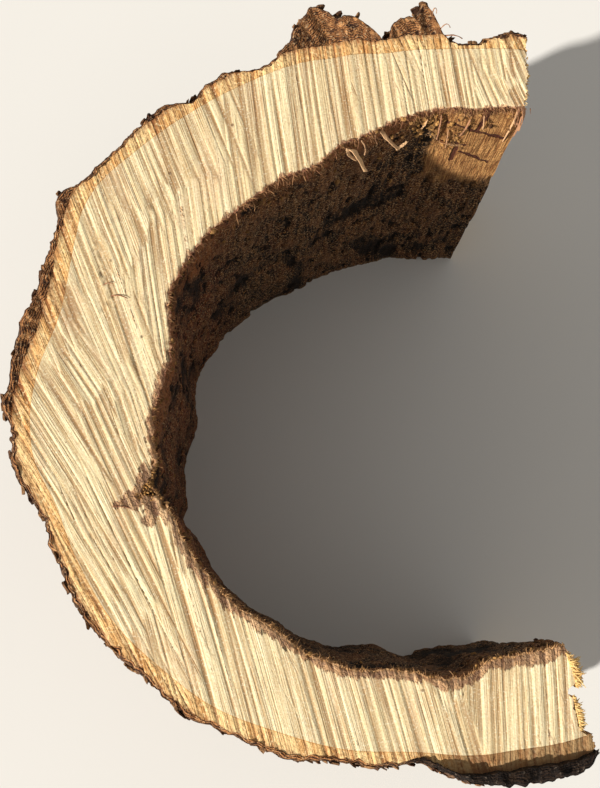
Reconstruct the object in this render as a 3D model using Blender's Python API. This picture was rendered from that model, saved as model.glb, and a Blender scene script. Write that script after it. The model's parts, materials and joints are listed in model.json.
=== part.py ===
"""A split log: a short length of a hollow tree trunk that has lost one side.

It grew as one piece, so it is one solid: a thick wall that curves round a rotted
hollow like a C, sawn across at both ends and split along the grain at both tips.
It stands on one sawn end. Metres; +Z runs up the grain and +X out of the open side.
"""

import math

import bmesh
import bpy
import numpy as np

LENGTH = 0.290  # from sawn end to sawn end, a common firewood length
MOUTH = (0.146, 0.002)  # the upright line, in the open side, that the wall curves round
TRUNK_RADIUS = 0.22  # of the bark, about the mouth, on average

COLUMNS = 132  # steps round the wall, from the upper tip to the lower one
LAYERS = 4  # steps across the wall, from the hollow to the bark
ROWS = 12  # steps up the grain

# The bark's outline on the upper sawn end, from the upper tip round to the lower one.
# Two thick plates of old bark stand out on the upper arm.
BARK_OUTLINE = (
    (0.158, 0.232),
    (0.131, 0.228),
    (0.116, 0.222),
    (0.104, 0.230),
    (0.096, 0.244),
    (0.082, 0.244),
    (0.069, 0.238),
    (0.061, 0.225),
    (0.051, 0.235),
    (0.041, 0.242),
    (0.028, 0.243),
    (0.017, 0.248),
    (0.007, 0.240),
    (-0.002, 0.223),
    (-0.015, 0.207),
    (-0.043, 0.199),
    (-0.067, 0.179),
    (-0.082, 0.174),
    (-0.107, 0.152),
    (-0.134, 0.122),
    (-0.147, 0.110),
    (-0.150, 0.090),
    (-0.160, 0.051),
    (-0.171, 0.024),
    (-0.175, -0.002),
    (-0.179, -0.022),
    (-0.171, -0.045),
    (-0.171, -0.062),
    (-0.150, -0.096),
    (-0.145, -0.112),
    (-0.129, -0.147),
    (-0.093, -0.184),
    (-0.061, -0.211),
    (-0.003, -0.234),
    (0.051, -0.240),
    (0.082, -0.240),
    (0.098, -0.246),
    (0.134, -0.250),
    (0.158, -0.246),
    (0.181, -0.233),
)

# The hollow's outline on the upper sawn end, in the same order.
HOLLOW_OUTLINE = (
    (0.156, 0.176),
    (0.099, 0.174),
    (0.076, 0.168),
    (0.049, 0.155),
    (0.013, 0.132),
    (-0.027, 0.109),
    (-0.053, 0.086),
    (-0.074, 0.053),
    (-0.075, 0.005),
    (-0.084, -0.030),
    (-0.084, -0.070),
    (-0.066, -0.097),
    (-0.061, -0.113),
    (-0.028, -0.149),
    (0.009, -0.174),
    (0.039, -0.184),
    (0.097, -0.189),
    (0.117, -0.180),
    (0.165, -0.169),
)

# How much further in the hollow's wall stands at the foot: (x, offset) on each arm.
UPPER_ARM_FOOT = ((-0.07, 0.0), (-0.02, -0.003), (0.05, 0.002), (0.08, 0.009))
LOWER_ARM_FOOT = ((-0.05, 0.0), (0.02, 0.006), (0.08, 0.006), (0.12, -0.004), (0.17, -0.008))

FLARE = 0.005  # how much further out the bark stands at the foot

# The bark's ridges run up the grain and begin below the upper sawn end.
RIDGE_DEPTH = 0.006
RIDGE_WIDTH = 0.026
RIDGE_FADE = 0.07  # over this height they grow to their full depth
RIDGE_WANDER = 1.4  # radians of a ridge's width that it wanders sideways
RIDGE_WANDER_HEIGHT = 0.19
RIDGE_CRACK_HEIGHT = 0.083  # between the cracks across a ridge

# Lower down, the whole outline turns a little to and fro round the mouth.
DRIFT = 0.030  # radians
DRIFT_HEIGHT = 0.34

# Soft waves in the rotted wall.
SWELL = 0.003
SWELL_HEIGHT = 0.16
SWELL_FADE = 0.05  # over this height below the upper sawn end they grow to full size

# Steps in the two faces that were split along the grain.
TIP_STEP = 0.0025
TIP_STEP_HEIGHT = 0.11


def wave(turns):
    """A sine that repeats with each whole number of turns."""
    return np.sin(math.tau * turns)


def polar(outline):
    """Angles round the mouth and distances from it of an outline's points, by rising angle."""
    points = np.array(outline) - MOUTH
    angles = np.mod(np.arctan2(points[:, 1], points[:, 0]), math.tau)
    return angles, np.hypot(points[:, 0], points[:, 1])


def radius_along(outline, angle):
    """The distance from the mouth to the smooth curve through an outline's points."""
    knots, radii = polar(outline)
    slopes = np.gradient(radii, knots)
    angle = np.clip(angle, knots[0], knots[-1])
    at = np.clip(np.searchsorted(knots, angle) - 1, 0, len(knots) - 2)
    span = knots[at + 1] - knots[at]
    t = (angle - knots[at]) / span
    start = radii[at] * (1 + 2 * t) * (1 - t) ** 2 + slopes[at] * span * t * (1 - t) ** 2
    end = radii[at + 1] * t**2 * (3 - 2 * t) - slopes[at + 1] * span * t**2 * (1 - t)
    return start + end


def ridges(angle, height):
    """How deep the bark's furrows are, from 0 on a ridge to RIDGE_DEPTH between two."""
    wander = RIDGE_WANDER * wave(height / RIDGE_WANDER_HEIGHT + angle / 2)
    uneven = 1.7 * np.sin(5 * angle)
    furrow = 0.5 + 0.5 * np.sin(angle * TRUNK_RADIUS / RIDGE_WIDTH * math.tau + wander + uneven)
    cracked = 0.7 + 0.3 * wave(height / RIDGE_CRACK_HEIGHT + 2 * angle)
    fade = np.clip((LENGTH - height) / RIDGE_FADE, 0, 1)
    return RIDGE_DEPTH * furrow * cracked * fade


def bark_radius(angle, height):
    """The bark's distance from the mouth: the sawn outline carried down the grain."""
    fall = (LENGTH - height) / LENGTH
    drift = DRIFT * wave(fall * LENGTH / DRIFT_HEIGHT + angle / 3) * fall
    outline = radius_along(BARK_OUTLINE, angle + drift)
    return outline - ridges(angle, height) + FLARE * fall**2


def hollow_radius(angle, height):
    """The rotted wall's distance from the mouth."""
    radius = radius_along(HOLLOW_OUTLINE, angle)
    across = MOUTH[0] + radius * np.cos(angle)
    upper = np.interp(across, *np.transpose(UPPER_ARM_FOOT))
    lower = np.interp(across, *np.transpose(LOWER_ARM_FOOT))
    inward = np.where(np.sin(angle) > 0, upper, lower) * (LENGTH - height) / LENGTH
    swell = wave(height / SWELL_HEIGHT + angle * 2 / 3) + 0.6 * np.sin(9 * angle)
    fade = np.clip((LENGTH - height) / SWELL_FADE, 0, 1)
    return radius - inward + SWELL * swell * fade


def tip_step(across, height):
    """How far a split face stands out or in, across the wall and up the grain."""
    streaks = wave(1.3 * across + 0.15) + 0.5 * wave(2.9 * across)
    return TIP_STEP * (streaks + 0.4 * wave(height / TIP_STEP_HEIGHT + across))


def plank():
    """A straight plank of unit size, cut into columns, layers and rows."""
    mesh = bmesh.new()
    bmesh.ops.create_cube(mesh, size=1.0)
    bmesh.ops.translate(mesh, verts=mesh.verts, vec=(0.5, 0.5, 0.5))
    for axis, steps in enumerate((COLUMNS, LAYERS, ROWS)):
        along = [e for e in mesh.edges if abs(e.verts[0].co[axis] - e.verts[1].co[axis]) > 0.5]
        bmesh.ops.subdivide_edges(mesh, edges=along, cuts=steps - 1, use_grid_fill=True)
    return mesh


def bent(plank_points):
    """The plank's points, x along it, y across it and z up it, bent round the mouth."""
    along, across, up = plank_points.T
    first, last = polar(BARK_OUTLINE)[0][[0, -1]]
    height = up * LENGTH
    angle = first + along * (last - first)
    inner = hollow_radius(angle, height)
    radius = inner + across * (bark_radius(angle, height) - inner)
    which_tip = np.where(along < 1e-4, -1, 0) + np.where(along > 1 - 1e-4, 1, 0)
    angle = angle + which_tip * tip_step(across, height) / radius
    return np.column_stack(
        (MOUTH[0] + radius * np.cos(angle), MOUTH[1] + radius * np.sin(angle), height)
    )


def centred(points):
    """The points, moved level so that the middle of their box is over the origin."""
    middle = (points.min(axis=0) + points.max(axis=0)) / 2
    return points - (middle[0], middle[1], 0)


def wood_material():
    material = bpy.data.materials.new("wood")
    material.use_nodes = True
    shader = material.node_tree.nodes["Principled BSDF"]
    shader.inputs["Base Color"].default_value = (0.72, 0.54, 0.31, 1)
    shader.inputs["Roughness"].default_value = 0.8
    shader.inputs["Metallic"].default_value = 0.0
    return material


def split_log():
    """The log: a plank of wall bent into a C, with bark outside and rot inside."""
    mesh = plank()
    points = centred(bent(np.array([vertex.co for vertex in mesh.verts])))
    for vertex, point in zip(mesh.verts, points):
        vertex.co = point
    bmesh.ops.recalc_face_normals(mesh, faces=mesh.faces)
    data = bpy.data.meshes.new("split_log")
    mesh.to_mesh(data)
    mesh.free()
    data.materials.append(wood_material())
    data.shade_smooth()
    data.set_sharp_from_angle(angle=math.radians(50))
    log = bpy.data.objects.new("split_log", data)
    bpy.context.scene.collection.objects.link(log)


def main():
    for old in list(bpy.data.objects):
        bpy.data.objects.remove(old, do_unlink=True)
    split_log()


main()
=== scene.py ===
"""The looks of a split log: a hollow trunk's thick C-shaped wall, sawn across and split open."""
import json
import math

import bpy
import numpy as np
from mathutils import Matrix, Vector, noise

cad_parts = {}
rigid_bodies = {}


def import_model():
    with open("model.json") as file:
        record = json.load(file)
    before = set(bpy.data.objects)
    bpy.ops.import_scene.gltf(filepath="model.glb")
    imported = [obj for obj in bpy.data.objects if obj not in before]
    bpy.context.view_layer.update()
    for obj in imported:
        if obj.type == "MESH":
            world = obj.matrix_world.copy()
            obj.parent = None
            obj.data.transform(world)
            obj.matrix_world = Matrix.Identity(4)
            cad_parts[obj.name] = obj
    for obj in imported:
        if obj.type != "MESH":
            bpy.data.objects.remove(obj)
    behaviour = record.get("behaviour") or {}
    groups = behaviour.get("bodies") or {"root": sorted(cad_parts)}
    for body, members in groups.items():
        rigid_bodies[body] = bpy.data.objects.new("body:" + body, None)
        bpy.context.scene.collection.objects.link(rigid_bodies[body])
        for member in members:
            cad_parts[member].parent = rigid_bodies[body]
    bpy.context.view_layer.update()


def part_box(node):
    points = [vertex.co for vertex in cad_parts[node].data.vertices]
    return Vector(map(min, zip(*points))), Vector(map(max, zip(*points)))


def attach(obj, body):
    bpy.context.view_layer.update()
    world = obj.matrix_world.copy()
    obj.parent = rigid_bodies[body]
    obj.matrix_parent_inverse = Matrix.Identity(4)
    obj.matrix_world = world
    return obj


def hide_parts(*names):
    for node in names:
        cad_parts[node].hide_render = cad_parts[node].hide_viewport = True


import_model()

LOG_LOW, LOG_HIGH = (np.array(corner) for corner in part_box("split_log"))
LENGTH = LOG_HIGH[2] - LOG_LOW[2]
MM = 0.001
METRE = 1000  # millimetres

# The upright line in the open side that the wall curves round, before the log is centred.
MOUTH = (0.146, 0.002)

# Outlines on the upper sawn end, in millimetres, from the upper tip round to the lower tip.
BARK = (
    (158, 231), (142, 231), (132, 227), (116, 221), (108, 226), (101, 232), (94, 247), (82, 243),
    (68, 238), (61, 225), (52, 235), (43, 241), (28, 242), (17, 248), (7, 239), (-2, 223), (-14, 207),
    (-25, 202), (-43, 199), (-56, 190), (-67, 178), (-80, 176), (-96, 164), (-107, 152), (-121, 137),
    (-133, 123), (-148, 113), (-150, 90), (-156, 70), (-160, 51), (-170, 25), (-174, 5), (-176, -14),
    (-179, -22), (-171, -44), (-172, -57), (-162, -78), (-149, -96), (-145, -111), (-137, -129),
    (-129, -147), (-111, -167), (-93, -184), (-75, -199), (-63, -210), (-42, -218), (-24, -227),
    (-4, -234), (28, -237), (51, -240), (81, -239), (98, -246), (134, -250), (157, -246), (175, -239),
    (181, -232),
)
CAMBIUM = (
    (158, 217), (105, 217), (83, 216), (61, 213), (43, 212), (26, 209), (9, 206), (-6, 201), (-36, 187),
    (-67, 168), (-100, 142), (-126, 115), (-133, 101), (-137, 81), (-145, 31), (-157, -6), (-160, -31),
    (-156, -60), (-143, -85), (-128, -120), (-106, -155), (-75, -184), (-45, -205), (-8, -219),
    (30, -229), (73, -231), (111, -233), (134, -230), (156, -227), (176, -222),
)
HOLLOW = (
    (156, 176), (120, 174), (99, 174), (76, 168), (60, 161), (49, 155), (34, 148), (13, 132), (-6, 124),
    (-27, 109), (-42, 96), (-53, 86), (-64, 71), (-74, 53), (-75, 5), (-84, -30), (-84, -48),
    (-82, -63), (-85, -72), (-73, -89), (-62, -112), (-46, -133), (-28, -149), (-5, -163), (9, -174),
    (24, -180), (39, -184), (61, -184), (82, -187), (97, -189), (109, -186), (117, -180), (131, -176),
    (148, -173), (165, -169),
)

# How much further in the hollow's wall stands at the foot: (x, offset) on each arm.
UPPER_ARM_FOOT = ((-0.07, 0.0), (-0.02, -0.003), (0.05, 0.002), (0.08, 0.009))
LOWER_ARM_FOOT = ((-0.05, 0.0), (0.02, 0.006), (0.08, 0.006), (0.12, -0.004), (0.17, -0.008))

# The top of the wood is its own slab, so that the saw's marks can be fine.
SLAB = 0.005
POCKET_ANGLE = 3.46  # where, round the mouth, the rot eats into the sawn end
RIM_HOLE = (2.598, 0.0155)  # the angle and depth of a small hole just below the hollow's rim
FLARE = 0.004  # how much further out the bark stands at the foot
INNER_BARK = 0.0105  # the most that the inner bark is thick

# The saw cut in strokes at a few angles, in degrees from straight down the sawn end.
STROKES = (3, 11, 19, 26, 33)
STROKE_BENDS = (0.10, -0.16, 0.14, -0.22, 0.16)  # how much each set of strokes curves, per metre
WIDE_STROKE = 4.8 * MM  # between one groove and the next
NARROW_STROKE = 2.5 * MM

# (x, y, degrees): the angle of the strokes at places on the sawn end, in millimetres.
STROKE_MAP = (
    (40, 175, 11), (95, 175, 12), (0, 170, 12), (143, 205, 16), (150, 180, 28), (-40, 150, 15),
    (-73, 140, 21), (-60, 110, 10), (-100, 120, 23), (-120, 70, 22), (-140, 20, 30), (-130, -4, 33),
    (-86, 28, 11), (-90, 60, 8), (-104, 20, 18), (-100, -30, 19), (-146, -50, 30), (-110, -60, 26),
    (-105, -130, 30), (-60, -110, 15), (-60, -150, 20), (-40, -181, 20), (0, -190, 19), (40, -194, 17),
    (70, -210, 20), (105, -187, 3), (140, -200, 4), (175, -194, 5),
)

# (x, y, radius, depth) in millimetres: where rot or the saw left a hole in the sawn end.
PITS = (
    (-79, -71, 8.0, 4.4), (-76, -80, 6.0, 4.4), (-87, -76, 4.6, 3.4), (-93, -80, 2.4, 1.2),
    (-72, -87, 3.0, 2.6),
    (-126, 85, 1.1, 0.4), (-124, 81, 1.7, 0.45), (-125, 76, 1.0, 0.5), (-122, 72, 1.9, 0.4),
    (-121, 65, 1.0, 0.45), (-120, 60, 2.2, 0.5), (-118, 54, 1.2, 0.5), (-119, 49, 1.6, 0.35),
    (-115, 41, 2.8, 0.6), (-118, 37, 2.0, 0.5), (-121, 33, 1.7, 0.4), (-113, 45, 1.2, 0.4),
)

# (x, y, radius) in millimetres: dark stain that reaches out from the hollow over the sawn end.
STAINS = (
    (-78, -76, 12), (-88, -78, 8), (-95, -82, 6), (-101, -84, 5), (-105, -85, 3.5), (-90, -70, 5),
    (-91, -63, 3), (-84, -88, 6), (-86, -95, 4), (-72, -92, 7), (-66, -101, 5), (-70, -108, 3),
)

# (angle, spread, number) of the extra fibres where the hollow's rim is most torn.
TORN_RIM = ((2.595, 0.022, 80), (2.44, 0.05, 110), (1.66, 0.07, 90), (1.95, 0.12, 90), (3.9, 0.25, 160))

# (x, width) in millimetres: the stained band along the hollow's rim, on each arm.
UPPER_BAND = ((-85, 2.0), (-60, 1.6), (-30, 2.2), (20, 1.2), (160, 1.0))
LOWER_BAND = ((-90, 4.0), (-60, 6.0), (-40, 6.5), (0, 5.0), (40, 5.5), (90, 6.5), (130, 8.0), (170, 7.0))

# Slivers at the rim and on the sawn end: width, thickness and tone, then the path's points as
# (x, y, height above the sawn end). All but the tone are in millimetres.
SLIVERS = (
    (1.9, 0.6, 0.9, (39, 147, -3), (42, 143, -1), (44, 141, -5), (48, 134, -7)),
    (1.3, 0.6, 0.8, (36, 147, -2), (35, 142, -2), (42, 141, -6)),
    (0.5, 0.4, 0.6, (45, 153, -2), (49, 148, -2), (47, 144, -5)),
    (1.8, 0.6, 0.7, (58, 160, -3), (61, 156, -2), (65, 152, -4), (69, 149, -5)),
    (1.2, 0.5, 0.8, (68, 149, -5), (71, 150, -6), (75, 154, -5)),
    (0.6, 0.4, 0.4, (58, 163, -3), (52, 158, -2), (56, 152, -6)),
    (1.3, 0.6, 0.35, (152, 178, -1), (155, 171, -2), (152, 169, -10), (153, 170, -20)),
    (1.0, 0.5, 0.3, (150, 178, -1), (149, 170, -2), (151, 171, -14)),
    (0.8, 0.5, 0.5, (150, 177, -2), (146, 171, -2), (149, 168, -10)),
    (0.45, 0.4, 0.25, (-114, 45.5, -0.6), (-109, 46.5, 1.2), (-103.5, 43.5, 0.8)),
    (0.35, 0.3, 0.35, (-120, 52, -0.5), (-116.5, 54.5, 1.2), (-113, 53, 0.6)),
    (0.35, 0.3, 0.2, (-97, -88, -0.6), (-104, -86, 0.8), (-109, -87, -0.2)),
    (0.4, 0.3, 0.35, (94, 240, -2), (92, 247, 2), (97, 249, 3), (96, 243, 1)),
    (0.35, 0.3, 0.3, (98, 232, -1), (103, 238, 3), (105, 233, 1)),
    (0.6, 0.4, 0.2, (100, 228, -2), (108, 229, 2), (113, 225, 1)),
)

# (x, depth) at each end, in millimetres, of the slivers on the upper arm's wall.
WALL_SLIVERS = (
    (99, 6, 102, 45), (107, 30, 110, 58), (119, 12, 117, 40), (104, 46, 121, 52),
    (128, 8, 131, 30), (150, 8, 149, 50), (154, 10, 155, 42), (90, 10, 88, 28),
)

# The tufts at the split ends: (x, y) where each starts and stops, its fibres and their reach in mm.
TUFTS = (
    ((0.1675, -0.1735), (0.1735, -0.1935), 800, 9.4),
    ((0.1705, -0.1985), (0.1745, -0.2190), 640, 7.4),
    ((0.157, 0.178), (0.160, 0.216), 90, 3.6),
    ((0.158, 0.216), (0.159, 0.230), 26, 2.6),
)

RIM_FIBRES = 1350  # all round the hollow's rim, apart from those where it is torn
BARK_FLAKES = 620

# Dark cracks in the sound patch on the upper arm's wall: (x, depth) at each end, half the width.
CRACKS = (
    ((0.105, 0.018), (0.150, 0.046), 0.0016), ((0.121, 0.062), (0.145, 0.084), 0.0014),
    ((0.103, 0.046), (0.123, 0.052), 0.0018), ((0.128, 0.030), (0.131, 0.006), 0.0022),
    ((0.118, 0.050), (0.117, 0.075), 0.0024),
)

# Crumbs of rot in clusters: how many, their angle and its spread, how deep they lie below the
# sawn end (or reach over it, below 0) and their sizes, in millimetres, and their tones.
CRUMB_CLUSTERS = (
    (120, 3.47, 0.035, lambda: chance.uniform(0.2, 9), (0.4, 1.2), (0, 0.5)),
    (120, 1.87, 0.045, lambda: chance.gamma(3, 6.5), (0.5, 1.4), (0.3, 0.9)),
    (46, 1.755, 0.025, lambda: 47 + chance.normal(0, 8), (0.5, 1.2), (0, 0.7)),
    (90, POCKET_ANGLE, 0.022, lambda: -chance.gamma(2, 2.2), (0.3, 0.75), (0, 1)),
)

EDGE = 0.0001  # what is nearer than this to a unit block's side is on that side
SMOOTHED = math.radians(48)  # faces that meet at less than this are smoothed

KEY_DIRECTION = (-0.89, -0.45, 0.48)  # low and from the left, so the hollow is in shade
KEY_STRENGTH = 6.1
KEY_COLOUR = (1.0, 0.955, 0.885)
KEY_ANGLE = math.radians(2)  # how wide the sun is, which softens its shadows
SKY_COLOUR = (1.0, 0.965, 0.91, 1.0)
SKY_STRENGTH = 0.35
FLOOR_SIZE = 60
FLOOR_GAP = 0.0005  # between the floor and the log, so that they don't flicker together

CAMERA_PLACE = (-0.0198, -0.1465, 0.957)
CAMERA_RIGHT = (0.99932, 0.0, 0.03675)
CAMERA_UP = (-0.00702, 0.98158, 0.19091)

SEED = 20
chance = np.random.default_rng(SEED)
noise.seed_set(SEED)  # otherwise noise_vector takes its seed from the clock


# ---------------------------------------------------------------- outlines of the sawn end


def polar(outline):
    """Angles round the mouth and distances from it of an outline's points."""
    points = np.array(outline) / METRE - MOUTH
    return np.mod(np.arctan2(points[:, 1], points[:, 0]), math.tau), np.hypot(*points.T)


def radius_along(outline, angle):
    """The distance from the mouth to the smooth curve through an outline's points."""
    knots, radii = polar(outline)
    slopes = np.gradient(radii, knots)
    angle = np.clip(angle, knots[0], knots[-1])
    at = np.clip(np.searchsorted(knots, angle) - 1, 0, len(knots) - 2)
    span = knots[at + 1] - knots[at]
    t = (angle - knots[at]) / span
    start = radii[at] * (1 + 2 * t) * (1 - t) ** 2 + slopes[at] * span * t * (1 - t) ** 2
    end = radii[at + 1] * t**2 * (3 - 2 * t) - slopes[at + 1] * span * t**2 * (1 - t)
    return start + end


OUTLINE_MIDDLE = (np.min(BARK, axis=0) / METRE + np.max(BARK, axis=0) / METRE) / 2
CENTRE = (LOG_LOW[:2] + LOG_HIGH[:2]) / 2 - OUTLINE_MIDDLE + MOUTH


def placed(angle, radius, height):
    """Points at an angle round the mouth, a distance from it and a height."""
    across = radius * np.cos(angle) + CENTRE[0]
    return np.column_stack((across, radius * np.sin(angle) + CENTRE[1], height))


def round_mouth(angle):
    """The ways out from the mouth and round it, at an angle."""
    return np.array(((math.cos(angle), math.sin(angle), 0), (-math.sin(angle), math.cos(angle), 0)))


def grain(*axes, seed=0.0):
    """Smooth noise from -1 to 1 at many points, each axis given in its own wavelengths."""
    arrays = np.broadcast_arrays(*axes, *[seed] * (3 - len(axes)))
    return np.array([noise.noise(point) for point in zip(*(a.tolist() for a in arrays))])


def smooth(low, high, value):
    """0 below low, 1 above high and a soft step between them."""
    t = np.clip((value - low) / (high - low), 0, 1)
    return t * t * (3 - 2 * t)


# ---------------------------------------------------------------- the saw's marks


def stroke_place(which, x, y):
    """How far across and along one set of the saw's strokes a point lies."""
    turn = math.radians(STROKES[which])
    along = y * math.cos(turn) - x * math.sin(turn)
    return x * math.cos(turn) + y * math.sin(turn) + along * along * STROKE_BENDS[which], along


def wanted_angle(x, y):
    """The strokes' angle at each point, from the places where it is known."""
    total = 0.0
    weights = 0.0
    for near_x, near_y, degrees in STROKE_MAP:
        weight = ((x - near_x / METRE) ** 2 + (y - near_y / METRE) ** 2 + 0.010**2) ** -1.7
        total = total + weight * degrees
        weights = weights + weight
    return total / weights


def on_arms(x, angle, upper, lower):
    """A value that changes along x, from one list of (x, value) on each arm."""
    values = (np.interp(x, *np.transpose(arm)) for arm in (upper, lower))
    return np.where(np.sin(angle) > 0, *values)


def saw_relief(x, y, depth=1.0):
    """The sawn face's height in metres, how far out of a groove it is, and each set's share."""
    wanted = wanted_angle(x, y) + 4.5 * grain(x / 0.05, y / 0.10, seed=4.2)
    levels = []
    ridges = []
    for which, degrees in enumerate(STROKES):
        across, along = stroke_place(which, x, y)
        wide = np.abs(grain(across / WIDE_STROKE, along / 0.26, seed=1.7 + 3 * which))
        narrow = np.abs(grain(across / NARROW_STROKE, along / 0.13, seed=8.3 + 3 * which))
        tilt = grain(across / 0.013, along / 0.30, seed=6.6 + 3 * which)
        ridge = 0.78 * np.minimum(wide / 0.34, 1) ** 0.8 + 0.22 * np.minimum(narrow / 0.3, 1) ** 0.8
        miss = np.abs(degrees - wanted) / 7.5
        patchy = grain(x / 0.030, y / 0.08, seed=40.5 + which)
        levels.append(0.80 * ridge + 0.42 * tilt + 0.90 * miss + 0.22 * patchy)
        ridges.append(ridge)
    levels = np.array(levels)
    shares = np.exp((levels.min(axis=0) - levels) / 0.10)
    shares = shares / shares.sum(axis=0)
    height = (shares * levels).sum(axis=0)
    height = height - 1.15 + 0.35 * grain(x / 0.05, y / 0.05, seed=2.9)
    return np.minimum(height, 0.25) * depth * MM, (shares * ridges).sum(axis=0), shares


def pitted(x, y):
    """How deep the holes in the sawn end are, in metres, and how dark they are painted: darker the
    deeper the hole, the rot's own colour with painted shade.
    """
    wobble = 1 + 0.55 * grain(x / 0.003, y / 0.003, seed=12.5)
    deep = np.zeros(len(x))
    dark = np.zeros(len(x))
    for pit_x, pit_y, radius, depth in PITS:
        away = np.hypot(x / MM - pit_x, y / MM - pit_y) / radius * wobble
        hole = smooth(1.2, 0.4, away)
        deep = np.maximum(deep, hole * depth)
        dark = np.maximum(dark, hole * min(depth / 2.6, 1))
    return deep * MM, dark


def stained(x, y, angle, from_hollow):
    """How strongly the rot's stain shows at each point, with its edge at a half."""
    stain = 0.5 + (on_arms(x / MM, angle, UPPER_BAND, LOWER_BAND) - from_hollow) / 6
    for stain_x, stain_y, radius in STAINS:
        away = np.hypot(x / MM - stain_x, y / MM - stain_y)
        stain = np.maximum(stain, 0.5 + (radius - away) / 6)
    return np.clip(stain, 0, 1)


# ---------------------------------------------------------------- making and shaping meshes


def deselect():
    if bpy.context.object and bpy.context.object.mode != "OBJECT":
        bpy.ops.object.mode_set(mode="OBJECT")
    bpy.ops.object.select_all(action="DESELECT")


def only(piece):
    deselect()
    piece.select_set(True)
    bpy.context.view_layer.objects.active = piece


def points_of(mesh):
    flat = np.empty(len(mesh.vertices) * 3)
    mesh.vertices.foreach_get("co", flat)
    return flat.reshape(-1, 3)


def set_points(mesh, points):
    mesh.vertices.foreach_set("co", np.asarray(points, dtype=float).ravel())
    mesh.update()


def select_mesh(piece, domain, chosen):
    """Selects just these edges or faces, and leaves the piece in edit mode."""
    only(piece)
    bpy.ops.object.mode_set(mode="EDIT")
    bpy.ops.mesh.select_mode(type="EDGE" if domain == "edges" else "FACE")
    bpy.ops.mesh.select_all(action="DESELECT")
    bpy.ops.object.mode_set(mode="OBJECT")
    getattr(piece.data, domain).foreach_set("select", np.asarray(chosen, dtype=bool))
    bpy.ops.object.mode_set(mode="EDIT")


def cut_along(piece, axis, cells):
    """Cuts every edge that runs along an axis into equal cells."""
    ends = np.empty(len(piece.data.edges) * 2, dtype=int)
    piece.data.edges.foreach_get("vertices", ends)
    along = points_of(piece.data)[ends.reshape(-1, 2)][:, :, axis]
    select_mesh(piece, "edges", np.abs(along[:, 0] - along[:, 1]) > 1e-5)
    bpy.ops.mesh.subdivide(number_cuts=cells - 1)
    bpy.ops.object.mode_set(mode="OBJECT")


def block(name, *cuts):
    """A closed block of unit size, cut along x, y and z into the product of each list's cells.

    Gives the block, its points and the middles of its faces.
    """
    deselect()
    bpy.ops.mesh.primitive_cube_add(size=1, location=(0.5, 0.5, 0.5))
    piece = bpy.context.object
    piece.name = piece.data.name = name
    bpy.ops.object.transform_apply()
    for axis, steps in enumerate(cuts):
        for cells in steps:
            cut_along(piece, axis, cells)
    flat = np.empty(len(piece.data.polygons) * 3)
    piece.data.polygons.foreach_get("center", flat)
    return piece, points_of(piece.data), flat.reshape(-1, 3)


def at_ends(places):
    """Which points or face middles of a unit block are on the side at either tip."""
    return (places[:, 0] < EDGE) | (places[:, 0] > 1 - EDGE)


def paint(mesh, name, values):
    """Keeps a number at each point of the mesh for the material to read."""
    layer = mesh.attributes.new(name, "FLOAT", "POINT")
    layer.data.foreach_set("value", np.asarray(values, dtype=np.float32))


def paint_part(mesh, part, values, shares=()):
    """Paints numbers on part of a mesh, with each set of strokes' share, and 0 elsewhere."""
    strokes = {f"strokes_{which}": share for which, share in enumerate(shares)}
    for name, numbers in (values | strokes).items():
        painted = np.zeros(len(mesh.vertices))
        painted[part] = numbers
        paint(mesh, name, painted)


def thin_out(piece, faces, ratio):
    """Makes hidden faces coarse."""
    select_mesh(piece, "polygons", faces)
    bpy.ops.mesh.select_less()
    bpy.ops.mesh.decimate(ratio=ratio)
    bpy.ops.object.mode_set(mode="OBJECT")


def dress(piece, materials, which=None):
    """Gives the faces their materials, smooths the mesh and puts the piece on the log."""
    piece.data.materials.clear()
    for material in materials:
        piece.data.materials.append(material)
    if which is not None:
        piece.data.polygons.foreach_set("material_index", np.asarray(which, dtype=np.int32))
    only(piece)
    bpy.ops.object.shade_smooth_by_angle(angle=SMOOTHED)
    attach(piece, "root")
    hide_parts("split_log")


def bezier(path, t):
    """Points along the smooth curve that a path's points pull into shape."""
    points = [np.outer(np.ones(len(t)), p) for p in path]
    while len(points) > 1:
        points = [a * (1 - t)[:, None] + b * t[:, None] for a, b in zip(points, points[1:])]
    return points[0]


def laid(shape, path, width, thickness):
    """A straight, unit-high shape's points, bent along a path."""
    t = shape[:, 2]
    tangent = bezier(path, t + 0.02) - bezier(path, t - 0.02)
    side = np.cross(tangent, (0.31, 0.22, 0.93))
    side /= np.linalg.norm(side, axis=1)[:, None]
    up = np.cross(side, tangent)
    up /= np.linalg.norm(up, axis=1)[:, None]
    return bezier(path, t) + shape[:, :1] * width * side + shape[:, 1:2] * thickness * up


def bumps(shape, scale, start, kind):
    """Noise at a shape's points: a number each (noise.noise) or a way (noise.noise_vector)."""
    return np.array([kind(Vector(place)) for place in shape * scale + start])


def strand(sides, segments, tip):
    """A straight strand of unit height that tapers to a tip, to be bent along a path."""
    deselect()
    bpy.ops.mesh.primitive_cone_add(
        vertices=sides, radius1=1, radius2=tip, depth=1, location=(0, 0, 0.5), end_fill_type="NGON"
    )
    bpy.ops.object.transform_apply()
    cut_along(bpy.context.object, 2, segments)
    return bpy.context.object


def copies(name, model, shapes, material):
    """A piece made of copies of a model: shapes bends each one's points and gives its tone."""
    made = []
    for points, tone in shapes(points_of(model.data)):
        mesh = model.data.copy()
        set_points(mesh, points)
        paint(mesh, "tone", np.full(len(mesh.vertices), tone))
        copy = bpy.data.objects.new(name, mesh)
        bpy.context.scene.collection.objects.link(copy)
        made.append(copy)
    bpy.data.objects.remove(model)
    deselect()
    for copy in made:
        copy.select_set(True)
    bpy.context.view_layer.objects.active = made[0]
    bpy.ops.object.join()
    made[0].name = made[0].data.name = name
    dress(made[0], [material])


# ---------------------------------------------------------------- the wood


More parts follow.
